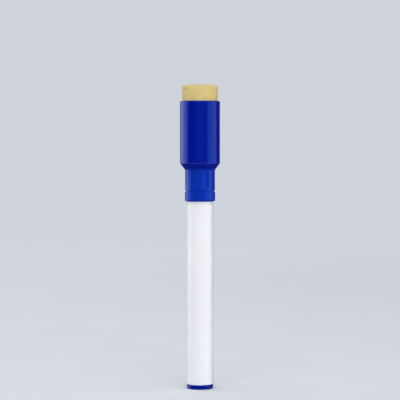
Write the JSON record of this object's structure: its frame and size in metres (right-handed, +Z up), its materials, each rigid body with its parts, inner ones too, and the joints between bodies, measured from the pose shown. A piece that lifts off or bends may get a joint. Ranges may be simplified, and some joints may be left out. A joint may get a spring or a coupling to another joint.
{
  "type": "felt tip marker",
  "caption": "Slim round white board marker with a pull-off fluted cap, whose wide head holds a felt eraser and a ring magnet.",
  "frame": {"origin": "centre of the tail plug's foot, on the marker's axis", "axes": "+Z runs up the axis from the foot to the eraser felt; the marker stands on z = 0 with its cap up; -Y is the front"},
  "size_m": [0.016, 0.016, 0.1219],
  "materials": {
    "barrel_white": "satin moulded polypropylene",
    "plug_blue": "satin moulded polypropylene",
    "core_ink": "bonded polyester fibre soaked with blue ink",
    "film_clear": "thin clear film",
    "holder_white": "satin moulded polypropylene",
    "nib_ink": "bonded fibre stained with blue ink",
    "cap_blue": "gloss moulded polypropylene",
    "liner_natural": "natural soft polyethylene",
    "magnet_ferrite": "ground dark grey ferrite",
    "seat_white": "plain moulded polypropylene",
    "adhesive_amber": "dried hot-melt glue",
    "felt_cream": "dense pressed felt"
  },
  "bodies": {
    "pen": {"barrel": "barrel_white", "tail_plug": "plug_blue", "reservoir_core": "core_ink", "reservoir_film": "film_clear", "nib_holder": "holder_white", "nib": "nib_ink"},
    "cap": {"cap_shell": "cap_blue", "seal_liner": "liner_natural", "ring_magnet": "magnet_ferrite", "eraser_seat": "seat_white", "felt_adhesive": "adhesive_amber", "eraser_felt": "felt_cream"}
  },
  "joints": [
    {"name": "cap_pull", "type": "slide", "parent": "pen", "child": "cap", "axis": [0, 0, 1], "range_m": [0, 0.03]}
  ]
}
